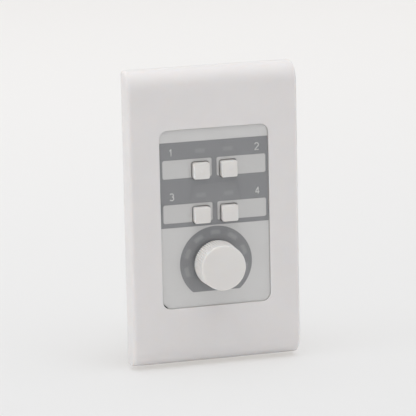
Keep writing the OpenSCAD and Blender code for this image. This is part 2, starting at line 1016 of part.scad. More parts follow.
module led_driver_chip() {
    color("black")
        translate([0, 0, -knob_drop])
            slab(board_back, board_back + chip_t)
                square(driver_w, center = true);
}

module main_board() {
    color("darkgreen")
        difference() {
            slab(main_front, main_back)
                round_rect(main_w, main_h, housing_r - housing_wall + slip_gap);
            at_corners(stud_x, stud_z)
                rod(small_screw_r + screw_gap, main_front - reach, main_back + reach);
        }
}

module main_board_screws() {
    color("silver")
        at_corners(stud_x, stud_z)
            screw(small_screw_r, small_head_r, small_head_t, main_front, main_front + small_screw_l);
}

module controller_chip() {
    color("black")
        slab(main_front - chip_t, main_front)
            square(chip_w, center = true);
}

module capacitors() {
    color("black")
        for (s = [-1, 1])
            translate([s * capacitor_pitch / 2, 0, -socket_drop])
                rod(capacitor_r, main_front - capacitor_h, main_front);
}

// Mouth of a network socket, with the stepped notch for the plug's catch
module socket_mouth() {
    translate([0, cavity_rise])
        square([cavity_w, cavity_h], center = true);
    translate([-notch_wide / 2, cavity_rise - cavity_h / 2 - notch_h])
        square([notch_wide, notch_h + bite]);
    translate([-notch_narrow / 2, cavity_rise - cavity_h / 2 - 2 * notch_h])
        square([notch_narrow, 2 * notch_h + bite]);
}

module network_socket(side) {
    color("gray")
        translate([side * socket_pitch / 2, 0, -socket_drop])
            difference() {
                slab(main_back, housing_d)
                    square(socket_w, center = true);
                slab(housing_d - cavity_d, housing_d + reach)
                    socket_mouth();
            }
}

// One sprung contact along the top of a socket's cavity, in Y and Z
module contact() {
    top = cavity_rise + cavity_h / 2;
    mouth = housing_d - contact_t;
    inner = housing_d - cavity_d + contact_lift;
    translate([-contact_w / 2, 0, 0])
        rotate([90, 0, 90])
            linear_extrude(contact_w)
                polygon([
                    [mouth, top],
                    [mouth - contact_lift, top],
                    [inner, top - contact_lift],
                    [inner, top - contact_lift - contact_t]
                ]);
}

module socket_contacts() {
    color("gold")
        for (side = [-1, 1])
            for (n = [0:contact_count - 1])
                translate([
                    side * socket_pitch / 2 + (n - (contact_count - 1) / 2) * contact_pitch,
                    0,
                    -socket_drop
                ])
                    contact();
}

module dip_switch_body() {
    color("firebrick")
        translate([0, 0, dip_z])
            difference() {
                slab(main_back, dip_face)
                    square([dip_w, dip_h], center = true);
                slab(dip_face - lever_seat - lever_gap, dip_face + reach)
                    for (n = [1:lever_count])
                        translate([lever_x(n), 0])
                            square([
                                lever_w + 2 * lever_gap,
                                lever_l + lever_travel + 2 * lever_gap
                            ], center = true);
            }
}

module dip_lever(n) {
    color("white")
        translate([lever_x(n), 0, dip_z + lever_rest])
            slab(dip_face - lever_seat, lever_tip)
                square([lever_w, lever_l], center = true);
}

// Block with round corners whose rear edges are rounded too
module rear_block(w, h, front, back, r, edge) {
    intersection() {
        slab(front, back)
            round_rect(w, h, r);
        translate([0, 0, -h])
            linear_extrude(2 * h)
                mirror([0, 1])
                    front_section(w, back, back - front, edge);
        rotate([0, 90, 0])
            translate([0, 0, -w])
                linear_extrude(2 * w)
                    mirror([0, 1])
                        front_section(h, back, back - front, edge);
    }
}

// Stepped outer or inner form of the rear housing
module housing_form(inset, front) {
    w = housing_w - 2 * inset;
    bottom = inset - housing_h / 2;
    r = housing_r - inset;
    edge = max(housing_edge - inset, inner_edge);
    low_h = step_z - inset - bottom;
    rear_block(w, housing_h - 2 * inset, front, step_d - inset, r, edge);
    translate([0, 0, bottom + low_h / 2])
        rear_block(w, low_h, front, housing_d - inset, r, edge);
}

// Upper right lug of the housing, which is screwed to the yoke
module housing_lug() {
    root_z = housing_h / 2 - bite;
    slab(0, lug_t) {
        translate([lug_x, lug_z])
            circle(lug_r);
        translate([lug_x - lug_r, root_z])
            square([2 * lug_r, lug_z - root_z]);
    }
}

module rear_housing() {
    color("dimgray")
        difference() {
            union() {
                difference() {
                    housing_form(0, 0);
                    housing_form(housing_wall, -reach);
                }
                intersection() {
                    at_corners(stud_x, stud_z)
                        rod(stud_r, main_back, housing_d);
                    housing_form(bite, 0);
                }
                in_quarters()
                    housing_lug();
            }
            at_corners(lug_x, lug_z)
                rod(big_screw_r + screw_gap, -reach, lug_t + reach);
            at_corners(stud_x, stud_z)
                rod(small_screw_r + screw_gap, main_back - reach, main_front + small_screw_l + screw_gap);
            for (side = [-1, 1])
                translate([side * socket_pitch / 2, 0, -socket_drop])
                    slab(step_d, housing_d + reach)
                        square(socket_w + 2 * slip_gap, center = true);
            translate([0, 0, dip_z])
                slab(main_back, step_d + reach)
                    square([dip_w + 2 * slip_gap, dip_h + 2 * slip_gap], center = true);
        }
}

module housing_screws() {
    color("silver")
        at_corners(lug_x, lug_z)
            screw(big_screw_r, big_head_r, big_head_t, lug_t, yoke_front);
}

wall_plate();
window_lens();
label_sheet();
label_film();
button_light_guides();
level_light_guide();
button_cap(1);  // button_cap_1
button_cap(2);  // button_cap_2
button_cap(3);  // button_cap_3
button_cap(4);  // button_cap_4
switch_plunger(1);  // switch_plunger_1
switch_plunger(2);  // switch_plunger_2
switch_plunger(3);  // switch_plunger_3
switch_plunger(4);  // switch_plunger_4
switch_bodies();
front_board();
button_leds();
level_leds();
encoder_body();
encoder_shaft();
volume_knob();
inner_chassis();
chassis_screws();
front_board_screws();
mounting_yoke();
pin_header();
header_socket();
led_driver_chip();
main_board();
main_board_screws();
controller_chip();
capacitors();
network_socket(-1);  // network_socket_1
network_socket(1);  // network_socket_2
socket_contacts();
dip_switch_body();
dip_lever(1);  // dip_lever_1
dip_lever(2);  // dip_lever_2
dip_lever(3);  // dip_lever_3
dip_lever(4);  // dip_lever_4
dip_lever(5);  // dip_lever_5
dip_lever(6);  // dip_lever_6
rear_housing();
housing_screws();
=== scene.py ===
# %% [markdown]
# # A wall-mounted audio control panel
# The real object is a single-gang wall plate: a white moulded cover that clips over a steel yoke,
# a clear window with a printed label behind it, four push buttons and a ribbed volume knob that
# turns without end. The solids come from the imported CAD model, in metres, with X to the right, Y
# into the wall and Z up. This lesson gives them their finishes and makes anew the pieces that a
# solid can't show well: the window, the knob, the printed numbers and the sprung contacts of the
# sockets.

# %% Load the solids
import math

import bmesh
import bpy
from mathutils import Matrix, Vector


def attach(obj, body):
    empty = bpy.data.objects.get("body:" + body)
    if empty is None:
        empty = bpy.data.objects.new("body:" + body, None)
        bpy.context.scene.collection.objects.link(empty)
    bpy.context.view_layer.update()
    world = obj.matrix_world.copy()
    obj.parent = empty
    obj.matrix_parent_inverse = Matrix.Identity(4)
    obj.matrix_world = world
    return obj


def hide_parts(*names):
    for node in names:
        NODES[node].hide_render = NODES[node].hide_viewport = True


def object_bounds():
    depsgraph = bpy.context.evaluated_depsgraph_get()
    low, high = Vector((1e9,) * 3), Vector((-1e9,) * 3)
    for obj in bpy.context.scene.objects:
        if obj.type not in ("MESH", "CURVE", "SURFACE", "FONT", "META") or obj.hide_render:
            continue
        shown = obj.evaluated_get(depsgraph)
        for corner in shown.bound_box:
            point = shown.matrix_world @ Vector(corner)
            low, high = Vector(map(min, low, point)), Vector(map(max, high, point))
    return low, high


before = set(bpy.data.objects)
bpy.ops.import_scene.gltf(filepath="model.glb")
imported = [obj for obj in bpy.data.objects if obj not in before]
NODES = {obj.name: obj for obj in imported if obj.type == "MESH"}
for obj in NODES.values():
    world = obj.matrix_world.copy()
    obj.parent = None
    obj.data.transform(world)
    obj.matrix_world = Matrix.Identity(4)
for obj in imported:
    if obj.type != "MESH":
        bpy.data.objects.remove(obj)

MM = 0.001
cad_low, cad_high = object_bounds()
print("solids:", len(NODES), "box in mm:", [round(side / MM, 1) for side in cad_high - cad_low])

# %% [markdown]
# ## The camera
# The photograph looks at the plate from its left and from a little above, through a long lens. A
# camera could be turned by eye until the edges agree. Here its place was worked out from the
# corners of the plate and of the window, so it is written as two angles, a tilt and a distance.
# The view direction and the two axes of the picture are the columns of the camera's rotation.

# %% Set the camera
AZIMUTH, ELEVATION, TILT = (math.radians(angle) for angle in (16.49, 12.04, -1.22))
CAMERA_DISTANCE = 1.27369
CAMERA_TARGET = Vector((-0.21, 0, 1.67)) * MM
FOCAL_PIXELS, PICTURE_PIXELS, SENSOR = 3175.48, 416, 36

towards_camera = Vector((-math.sin(AZIMUTH) * math.cos(ELEVATION),
                         -math.cos(AZIMUTH) * math.cos(ELEVATION), math.sin(ELEVATION)))
level_right = Vector((math.cos(AZIMUTH), -math.sin(AZIMUTH), 0))
level_up = towards_camera.cross(level_right)
picture_right = math.cos(TILT) * level_right + math.sin(TILT) * level_up
picture_up = math.cos(TILT) * level_up - math.sin(TILT) * level_right

camera = bpy.data.objects.new("camera", bpy.data.cameras.new("camera"))
bpy.context.scene.collection.objects.link(camera)
camera.data.sensor_width = SENSOR
camera.data.lens = FOCAL_PIXELS / PICTURE_PIXELS * SENSOR
camera.data.clip_end = 20
camera.matrix_world = Matrix.Translation(CAMERA_TARGET + CAMERA_DISTANCE * towards_camera) @ Matrix(
    (picture_right, picture_up, towards_camera)).transposed().to_4x4()
bpy.context.scene.camera = camera
print("lens in mm:", round(camera.data.lens, 1))

# %% [markdown]
# ## Writing node trees as sums
# A finish is a tree of nodes, and so is a shape that follows a rule. Placing and joining every
# node by hand hides what it works out. One small class wraps a node's output and turns Python's
# sums into Math nodes, and a tree's one method makes any other node from its type, its settings
# and its sockets.

# %% Sums on wires
class Wire:
    """One output in a node tree. Sums on it add Math nodes."""

    def __init__(self, tree, socket):
        self.tree, self.socket = tree, socket

    def maths(self, operation, second=0.0):
        return self.tree.node("ShaderNodeMath", {"operation": operation}, {0: self, 1: second})

    def __add__(self, other):
        return self.maths("ADD", other)

    def __sub__(self, other):
        return self.maths("SUBTRACT", other)

    def __mul__(self, other):
        return self.maths("MULTIPLY", other)

    def __truediv__(self, other):
        return self.maths("DIVIDE", other)

    def __pow__(self, other):
        return self.maths("POWER", other)

    def __rsub__(self, other):
        return self.tree.node("ShaderNodeMath", {"operation": "SUBTRACT"}, {0: other, 1: self})

    __radd__, __rmul__ = __add__, __mul__

    def __abs__(self):
        return self.maths("ABSOLUTE")


class Tree:
    """A node tree that is written line by line."""

    def fill(self, socket, value):
        if isinstance(value, Wire):
            self.nodes.id_data.links.new(value.socket, socket)
        else:
            socket.default_value = value

    def node(self, kind, settings=None, sockets=None, output=0):
        made = self.nodes.new(kind)
        for name, value in (settings or {}).items():
            setattr(made, name, value)
        for name, value in (sockets or {}).items():
            self.fill(made.inputs[name], value)
        return Wire(self, made.outputs[output])

    def split(self, vector):
        """The three parts of a vector."""
        parts = self.node("ShaderNodeSeparateXYZ", sockets={0: vector}).socket.node.outputs
        return [Wire(self, part) for part in parts]

    def vector(self, x=0.0, y=0.0, z=0.0):
        """A vector from its three parts."""
        return self.node("ShaderNodeCombineXYZ", sockets={0: x, 1: y, 2: z})

# %% Finishes
class Finish(Tree):
    """A material whose tree ends in one Principled shader."""

    def __init__(self, name, **constants):
        self.material = bpy.data.materials.new(name)
        self.material.use_nodes = True
        self.nodes = self.material.node_tree.nodes
        self.shader = self.nodes["Principled BSDF"]
        self.set(**constants)

    def set(self, **sockets):
        """Fills sockets of the shader; an underscore in a name stands for a space."""
        for name, value in sockets.items():
            self.fill(self.shader.inputs[name.replace("_", " ")], value)

    def place(self):
        """The point on the piece, in metres."""
        return self.node("ShaderNodeTexCoord", output="Object")

    def axes(self):
        """That point's three parts, each a number in millimetres."""
        return [part * (1 / MM) for part in self.split(self.place())]

    def noise(self, size_mm, detail=2.0, stretch=(1, 1, 1)):
        """Cloudy noise from 0 to 1 with grains of about this size."""
        point = self.node("ShaderNodeMapping", sockets={"Vector": self.place(), "Scale": stretch})
        return self.node("ShaderNodeTexNoise", sockets={
            "Vector": point, "Scale": 1 / (size_mm * MM), "Detail": detail})

    def blend(self, share, low, high):
        """A colour from low to high by a share from 0 to 1."""
        return self.node(
            "ShaderNodeMix", {"data_type": "RGBA"}, {0: share, 6: low, 7: high}, output=2)

    def between(self, value, low, high):
        """A smooth step from 0 at low to 1 at high."""
        return self.node("ShaderNodeMapRange", {"interpolation_type": "SMOOTHSTEP"}, {
            "Value": value, "From Min": low, "From Max": high})

    def bump(self, height, depth_mm, strength=1.0):
        self.set(Normal=self.node("ShaderNodeBump", sockets={
            "Height": height, "Distance": depth_mm * MM, "Strength": strength}))


def grey(value, tint=(1, 1, 1)):
    """A colour from a linear brightness and a tint."""
    return tuple(value * part for part in tint) + (1,)


def dress(finish, *names):
    """Gives a finish to solids that keep their own mesh."""
    for name in names:
        NODES[name].data.materials.clear()
        NODES[name].data.materials.append(finish.material)
    print(finish.material.name, "on", ", ".join(names))

# %% [markdown]
# ## White moulded plastic
# The cover is moulded in a warm white plastic, with the fine, dull grain that a spark-eroded
# mould leaves. One flat colour would look like paper. A cloudy tone a few millimetres across, an
# uneven dullness and a very shallow grain in the bump together give the surface of a real
# moulding. White plastic also lets light in for about a millimetre, which keeps its edges bright
# and its grooves from turning black, so the shader scatters light under the surface. The buttons
# and the knob are the same plastic, a little smoother and warmer.

# %% White finishes
WHITE_CLOUD, TONE_SPREAD, DULL_SPREAD = 9, 0.015, 0.16
LIGHT_DEPTH, LIGHT_DEPTH_BY_COLOUR = 1.2, (1.0, 0.88, 0.78)


def moulded_white(name, tone, tint, roughness, grain_mm, grain_depth_mm):
    finish = Finish(
        name, IOR=1.5, Specular_IOR_Level=0.2, Subsurface_Weight=0.7,
        Subsurface_Scale=LIGHT_DEPTH * MM, Subsurface_Radius=LIGHT_DEPTH_BY_COLOUR)
    cloud = finish.noise(WHITE_CLOUD, 3)
    grain = finish.noise(grain_mm, 2)
    finish.set(
        Base_Color=finish.blend(
            cloud, grey(tone * (1 - TONE_SPREAD), tint), grey(tone * (1 + TONE_SPREAD), tint)),
        Roughness=roughness + (grain - 0.5) * DULL_SPREAD)
    finish.bump(grain, grain_depth_mm, 0.5)
    return finish


WARM_WHITE = (1.0, 0.974, 0.97)
KEY_WHITE = (1.0, 0.978, 0.957)
plate_white = moulded_white("moulded_white", 0.75, WARM_WHITE, 0.58, 0.32, 0.012)
key_white = moulded_white("key_white", 0.738, KEY_WHITE, 0.50, 0.22, 0.006)
dress(plate_white, "wall_plate")
dress(key_white, "button_cap_1", "button_cap_2", "button_cap_3", "button_cap_4")

# %% [markdown]
# ## The printed label
# Behind the clear window lies a pale grey label, and on it a film printed dark grey, with pale
# strips left open beside the buttons. The ink is thin: where a light guide ends behind it, a
# soft, slightly lighter oblong shows even while the light is off. Cutting windows into the film
# would give hard edges, so the film's finish works out how far a point is from the nearest light
# and fades there. The label is a shade darker behind the strips; the change hides behind the
# film's edge.

# %% Label finish
BAND_TOP, BAND_BOTTOM = 31.15, -3.3
PAPER_TINT = (1.0, 0.994, 0.988)
PAPER_TONES, STRIP_TONES = (0.605, 0.632), (0.562, 0.587)
LABEL_CLOUD, FADE_NEAR, FADE_FAR = 14, 0.2, 0.8

label_grey = Finish("label_grey", Roughness=0.5)
label_cloud = label_grey.noise(LABEL_CLOUD, 2)
_, _, label_z = label_grey.axes()
in_band = label_grey.between(label_z, BAND_BOTTOM + FADE_NEAR, BAND_BOTTOM + FADE_FAR) * (
    1 - label_grey.between(label_z, BAND_TOP - FADE_FAR, BAND_TOP - FADE_NEAR))
paper_grey, strip_grey = (
    label_grey.blend(label_cloud, *(grey(tone, PAPER_TINT) for tone in tones))
    for tones in (PAPER_TONES, STRIP_TONES))
label_grey.set(Base_Color=label_grey.blend(in_band, paper_grey, strip_grey))
dress(label_grey, "label_sheet")

# %% Film finish
COLUMN_X, LIGHT_ROW_Z, ROW_PITCH = 5.75, 9.2, 18.0
KNOB_Z, LEVEL_R, LEVEL_PITCH, LEVEL_SPAN = -18.8, 12.5, math.radians(34.6), math.radians(120)
LIGHT_HALF, LIGHT_BLUR = (2.0, 0.9), 1.3
BUTTON_LIGHT_SHARE, BUTTON_LIGHTS_FROM, LEVEL_LIGHTS_TO, SPAN_FADE = 0.6, (0, 1), (-4, -3), 0.02
FILM_GREY, FILM_OVER_LIGHT = grey(0.238, (0.98, 1.0, 1.045)), grey(0.308, (0.99, 1.0, 1.03))


def soft_oblong(finish, across, along):
    """1 inside a light's oblong and 0 outside it, faded at the edges."""
    parts = [1 - finish.between(abs(offset), half - LIGHT_BLUR / 2, half + LIGHT_BLUR / 2)
             for offset, half in zip((across, along), LIGHT_HALF)]
    return parts[0] * parts[1]


def nearest(finish, value, pitch):
    """How far a value is from the nearest multiple of a pitch."""
    return finish.node(
        "ShaderNodeMath", {"operation": "WRAP"}, {0: value, 1: pitch / 2, 2: -pitch / 2})


film_ink = Finish("film_ink", Roughness=0.45)
film_x, _, film_z = film_ink.axes()
button_lights = soft_oblong(
    film_ink, abs(film_x) - COLUMN_X, nearest(film_ink, film_z - LIGHT_ROW_Z, ROW_PITCH)) * (
    film_ink.between(film_z, *BUTTON_LIGHTS_FROM)) * BUTTON_LIGHT_SHARE
from_knob_z = film_z - KNOB_Z
from_knob = (film_x * film_x + from_knob_z * from_knob_z).maths("SQRT")
turn = film_x.maths("ARCTAN2", from_knob_z)
level_lights = soft_oblong(
    film_ink, nearest(film_ink, turn, LEVEL_PITCH) * from_knob, from_knob - LEVEL_R) * (
    1 - film_ink.between(abs(turn), LEVEL_SPAN - SPAN_FADE, LEVEL_SPAN + SPAN_FADE)) * (
    1 - film_ink.between(film_z, *LEVEL_LIGHTS_TO))
film_ink.set(Base_Color=film_ink.blend(button_lights + level_lights, FILM_GREY, FILM_OVER_LIGHT))
dress(film_ink, "label_film")

# %% [markdown]
# ## The clear window
# The window is one sheet of clear acrylic, flush with the cover, cut for the buttons and the
# knob's shaft. The solid has knife edges; a real sheet is polished, and its rims catch the light.
# A flat curve with one outline for the sheet and one for each hole gives that in one step: it is
# filled, thickened, and its rims are rounded. It ends a hair in front of the film, because two
# faces in the same place fight over which is seen. Its lower left corner is cut, so that a
# fingernail can lift it out. The label lies flat against the sheet's back, so only the front
# gleams: little when seen straight on, more at a grazing angle.

# %% From curves to plain meshes
SAME_PLACE = 1e-7


def link_mesh(name, mesh):
    """Merges a mesh's doubles, points its faces outwards and puts it in the scene."""
    shape = bmesh.new()
    shape.from_mesh(mesh)
    bmesh.ops.remove_doubles(shape, verts=shape.verts, dist=SAME_PLACE)
    bmesh.ops.recalc_face_normals(shape, faces=shape.faces)
    shape.to_mesh(mesh)
    shape.free()
    mesh.name = name
    piece = bpy.data.objects.new(name, mesh)
    bpy.context.scene.collection.objects.link(piece)
    return piece


def plain_mesh(drawn):
    """The evaluated shape of an object as a mesh of its own; the object itself goes."""
    bpy.context.scene.collection.objects.link(drawn)
    depsgraph = bpy.context.evaluated_depsgraph_get()
    mesh = bpy.data.meshes.new_from_object(drawn.evaluated_get(depsgraph))
    bpy.data.objects.remove(drawn)
    return mesh


def curve_to_mesh(curve, where):
    """Turns a curve or text into a plain mesh object at the origin, with its place in its mesh."""
    name = curve.name
    mesh = plain_mesh(bpy.data.objects.new(name + "_curve", curve))
    mesh.transform(where)
    return link_mesh(name, mesh)


def smooth_by_angle(piece, degrees=35):
    """Smooth shading that keeps edges sharper than this angle."""
    piece.data.shade_smooth()
    shape = bmesh.new()
    shape.from_mesh(piece.data)
    for edge in shape.edges:
        edge.smooth = edge.is_manifold and edge.calc_face_angle() < math.radians(degrees)
    shape.to_mesh(piece.data)
    shape.free()


def finished(piece, finish, body, slot, *stands_for):
    """Gives a made piece its finish, its body and the solids it stands for."""
    piece.data.materials.clear()
    piece.data.materials.append(finish.material)
    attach(piece, body)
    if stands_for:
        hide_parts(*stands_for)
    print(piece.name, len(piece.data.polygons), "faces on", body)

# %% Outlines
def arc(centre, reach, start, end, steps=12):
    """Points on an oval between two angles in degrees."""
    angles = [math.radians(start + (end - start) * step / steps) for step in range(steps + 1)]
    return [(centre[0] + reach[0] * math.cos(angle), centre[1] + reach[1] * math.sin(angle))
            for angle in angles]


def rounded_outline(width, height, radius, centre=(0, 0), steps=10):
    """Points round a rectangle with round corners."""
    points = []
    for quarter, (side_x, side_z) in enumerate(((1, 1), (-1, 1), (-1, -1), (1, -1))):
        corner = (centre[0] + side_x * (width / 2 - radius),
                  centre[1] + side_z * (height / 2 - radius))
        points += arc(corner, (radius, radius), 90 * quarter, 90 * (quarter + 1), steps)
    return points


def cut_corner(points, reach):
    """Cuts off what lies past a diagonal line: the outer two points move onto it, the others go."""
    past = [max(0, -(x + z) / math.sqrt(2) - reach) for x, z in points]
    outer = [k for k, depth in enumerate(past) if depth]
    kept = []
    for k, ((x, z), depth) in enumerate(zip(points, past)):
        if not depth or k in (outer[0], outer[-1]):
            kept.append((x + depth / math.sqrt(2), z + depth / math.sqrt(2)))
    return kept


def flat_sheet(name, outlines, front, back, rim):
    """A sheet in X and Z between two levels of Y, from outlines in millimetres, with round rims."""
    curve = bpy.data.curves.new(name, "CURVE")
    curve.dimensions, curve.fill_mode = "2D", "BOTH"
    curve.extrude = ((back - front) / 2 - rim) * MM
    curve.bevel_depth, curve.bevel_resolution, curve.offset = rim * MM, 2, -rim * MM
    for outline in outlines:
        spline = curve.splines.new("POLY")
        spline.points.add(len(outline) - 1)
        for point, (x, z) in zip(spline.points, outline):
            point.co = (x * MM, z * MM, 0, 1)
        spline.use_cyclic_u = True
    stand_up = Matrix.Rotation(math.pi / 2, 4, "X")
    return curve_to_mesh(curve, Matrix.Translation((0, (front + back) / 2 * MM, 0)) @ stand_up)

# %% Make the window
LENS_W, LENS_H, LENS_R = 44.8, 72.2, 3.3
LENS_FRONT, LENS_BACK, LENS_RIM, PRY_CUT = -9.6, -9.14, 0.12, 0.3
BUTTON_Z = (19.3, 1.3)
HOLE_SIDE, HOLE_R, BUSHING_HOLE = 7.4, 1.3, 8.0

corner_round = LENS_R * (math.sqrt(2) - 1)
corner_reach = (LENS_W + LENS_H) / 2 / math.sqrt(2) - corner_round - PRY_CUT
lens_outlines = [cut_corner(rounded_outline(LENS_W, LENS_H, LENS_R), corner_reach)]
for x in (-COLUMN_X, COLUMN_X):
    for z in BUTTON_Z:
        lens_outlines.append(rounded_outline(HOLE_SIDE, HOLE_SIDE, HOLE_R, (x, z)))
lens_outlines.append(rounded_outline(BUSHING_HOLE, BUSHING_HOLE, BUSHING_HOLE / 2, (0, KNOB_Z)))
window = flat_sheet("window", lens_outlines, LENS_FRONT, LENS_BACK, LENS_RIM)
smooth_by_angle(window)

# %% Polish the window
GLEAM_STRAIGHT, GLEAM_EDGE_POWER = 0.04, 5
HAZE_SIZE, POLISH, HAZE, FADE_FROM_BACK = 25, 0.02, 0.03, (0.15, 0.05)

clear_acrylic = Finish("clear_acrylic", Base_Color=grey(0.97), Metallic=1.0)
haze = clear_acrylic.noise(HAZE_SIZE, 3)
_, lens_y, _ = clear_acrylic.axes()
edge_on = clear_acrylic.node("ShaderNodeLayerWeight", sockets={"Blend": 0.5}, output="Facing")
in_front = 1 - clear_acrylic.between(lens_y, *(LENS_BACK - depth for depth in FADE_FROM_BACK))
gleam = GLEAM_STRAIGHT + (1 - GLEAM_STRAIGHT) * edge_on ** GLEAM_EDGE_POWER
clear_acrylic.set(Roughness=POLISH + HAZE * haze, Alpha=in_front * gleam)
finished(window, clear_acrylic, "panel", "lens_acrylic", "window_lens")

# %% [markdown]
# ## The printed numbers
# Each button has its number printed in pale ink at the outer end of its row, in thin plain
# strokes. A typeface would do, but its strokes are too heavy at this size. So each number is
# drawn with a round pen, one curve for each stroke, because a curve's section narrows at a sharp
# bend. The strokes are pressed flat to a few hundredths of a millimetre and lie on the film like
# a coat of ink, just behind the window.

# %% Draw the strokes
STROKES = (
    ([(0.05, 0.52), (0.05, -0.52)], [(-0.3, 0.24), (0.0, 0.36), (0.1, 0.5)]),
    (arc((0, 0.21), (0.45, 0.29), 165, -30) + [(-0.44, -0.46)], [(-0.52, -0.5), (0.5, -0.5)]),
    (arc((0, 0.26), (0.42, 0.24), 155, -80), arc((0, -0.23), (0.47, 0.27), 80, -155)),
    ([(0.2, -0.52), (0.2, 0.52)], [(0.22, 0.5), (-0.48, -0.22)], [(-0.52, -0.22), (0.52, -0.22)]))
print("strokes for each number:", [len(strokes) for strokes in STROKES])

# %% Print the numbers
NUMBER_X, NUMBER_Z, NUMBER_W, NUMBER_H = 17.8, (27.25, 9.25), 1.75, 2.75
PEN, INK_T, INK_SPECKLE, INK_TONES = 0.44, 0.02, 0.4, (0.55, 0.60)

number_ink = Finish("number_ink", Roughness=0.55)
ink_speckle = number_ink.noise(INK_SPECKLE, 2)
number_ink.set(Base_Color=number_ink.blend(ink_speckle, *(grey(tone) for tone in INK_TONES)))
for number, strokes in enumerate(STROKES, 1):
    centre = ((-1 if number % 2 else 1) * NUMBER_X, NUMBER_Z[(number - 1) // 2])
    line = bpy.data.curves.new("number_%d" % number, "CURVE")
    line.dimensions, line.use_fill_caps = "3D", True
    line.bevel_depth, line.bevel_resolution = PEN / 2 * MM, 2
    for stroke in strokes:
        spline = line.splines.new("POLY")
        spline.points.add(len(stroke) - 1)
        for point, (x, z) in zip(spline.points, stroke):
            point.co = ((centre[0] + x * NUMBER_W) * MM, 0, (centre[1] + z * NUMBER_H) * MM, 1)
    press_flat = Matrix.Diagonal((1, INK_T / PEN, 1, 1))
    digit = curve_to_mesh(line, Matrix.Translation((0, (LENS_BACK + INK_T) * MM, 0)) @ press_flat)
    finished(digit, number_ink, "panel", "label_print")

# %% [markdown]
# ## Shapes that follow a rule
# The knob is a turned profile with sixty equal ribs, and the contacts of the sockets are sixteen
# equal bent wires. Both could be modelled point by point, but a rule says it better: a Geometry
# Nodes tree takes a chain of points, does the repeating, and is then turned into a plain mesh. A
# tree's sizes are named inputs, so that the same rule makes another knob or another socket.

# %% Trees for shapes
class Recipe(Tree):
    """A Geometry Nodes tree that takes a chain of points and some named sizes."""

    def __init__(self, name, **sizes):
        tree = bpy.data.node_groups.new(name, "GeometryNodeTree")
        self.nodes, self.inputs, self.values = tree.nodes, {}, {}
        tree.interface.new_socket("Chain", in_out="INPUT", socket_type="NodeSocketGeometry")
        tree.interface.new_socket("Shape", in_out="OUTPUT", socket_type="NodeSocketGeometry")
        for label, value in sizes.items():
            kind = "NodeSocketInt" if isinstance(value, int) else "NodeSocketFloat"
            socket = tree.interface.new_socket(
                label.replace("_", " "), in_out="INPUT", socket_type=kind)
            self.values[socket.identifier] = value
        start = self.nodes.new("NodeGroupInput")
        self.chain = Wire(self, start.outputs["Chain"])
        for label in sizes:
            self.inputs[label] = Wire(self, start.outputs[label.replace("_", " ")])

    def size(self, label):
        return self.inputs[label]

    def join(self, *shapes):
        """Several shapes as one."""
        joined = self.nodes.new("GeometryNodeJoinGeometry")
        for shape in shapes:
            self.fill(joined.inputs[0], shape)
        return Wire(self, joined.outputs[0])

    def end(self, shape, finish):
        """Realizes the shape's repeats, gives it a finish and sends it out of the tree."""
        real = self.node("GeometryNodeRealizeInstances", sockets={"Geometry": shape})
        done = self.node("GeometryNodeSetMaterial", sockets={
            "Geometry": real, "Material": finish.material})
        self.fill(self.nodes.new("NodeGroupOutput").inputs[0], done)

    def grow(self, name, points):
        """Runs the tree on a chain of points and gives the result as a plain mesh object."""
        chain = bpy.data.meshes.new(name + "_chain")
        chain.from_pydata(points, [(k, k + 1) for k in range(len(points) - 1)], [])
        seed = bpy.data.objects.new(name + "_seed", chain)
        modifier = seed.modifiers.new("rule", "NODES")
        modifier.node_group = self.nodes.id_data
        for identifier, value in self.values.items():
            modifier[identifier] = value
        return link_mesh(name, plain_mesh(seed))

# %% [markdown]
# ## The volume knob
# The knob is turned from one profile: front face, a small front round, a narrow smooth band, the
# ribbed side, and inside a hollow with a boss for the shaft. Its side narrows towards the front,
# so that it leaves its mould, and the ribs are lower there. Each point of the profile carries a
# third number: how high the ribs stand on it, as a share of their full depth, or -1 where the
# shaft's flat cuts the bore. The tree lays the profile round a grid and shifts each point: a rib
# is half a sine wave with its top cut flat, so the groove beside it is sharp. Four webs tie the
# boss to the wall.

# %% The knob's rule
RIB_FULLNESS, ROUNDING_MARGIN, LEAST_SINE, WELD = 1.3, 0.0005, 0.001, 1e-6

knob_rule = Recipe(
    "ribbed_knob", Ribs=60, Steps_per_rib=10, Rib_depth=0.45 * MM, Flat=1.55 * MM,
    Axis_z=KNOB_Z * MM, Web_width=1.0 * MM, Web_reach=3.1 * MM, Web_place=6.45 * MM,
    Web_depth=6.5 * MM, Web_y=-14.95 * MM)
around = knob_rule.size("Ribs") * knob_rule.size("Steps_per_rib")
points_in_chain = knob_rule.node("GeometryNodeAttributeDomainSize", sockets={
    "Geometry": knob_rule.chain})
grid = knob_rule.node("GeometryNodeMeshGrid", sockets={
    "Vertices X": around + 1, "Vertices Y": points_in_chain})
index = knob_rule.node("GeometryNodeInputIndex")
lap = (index / points_in_chain + ROUNDING_MARGIN).maths("FLOOR")
spin = lap / around * math.tau
on_chain = knob_rule.node("GeometryNodeSampleIndex", {"data_type": "FLOAT_VECTOR"}, {
    "Geometry": knob_rule.chain, "Value": knob_rule.node("GeometryNodeInputPosition"),
    "Index": index - lap * points_in_chain})
chain_r, chain_y, chain_rule = knob_rule.split(on_chain)
wave = abs((spin * knob_rule.size("Ribs") / 2).maths("SINE"))
rib = (wave * RIB_FULLNESS).maths("MINIMUM", 1.0)
ribbed_r = chain_r + chain_rule.maths("MAXIMUM", 0.0) * rib * knob_rule.size("Rib_depth")
flat_r = knob_rule.size("Flat") / (0 - spin.maths("SINE")).maths("MAXIMUM", LEAST_SINE)
in_bore = chain_rule.maths("LESS_THAN", 0.0)
cut_r = ribbed_r + in_bore * (chain_r.maths("MINIMUM", flat_r) - chain_r)
turned_point = knob_rule.vector(
    cut_r * spin.maths("COSINE"), chain_y, cut_r * spin.maths("SINE") + knob_rule.size("Axis_z"))
laid_round = knob_rule.node("GeometryNodeSetPosition", sockets={
    "Geometry": grid, "Position": turned_point})
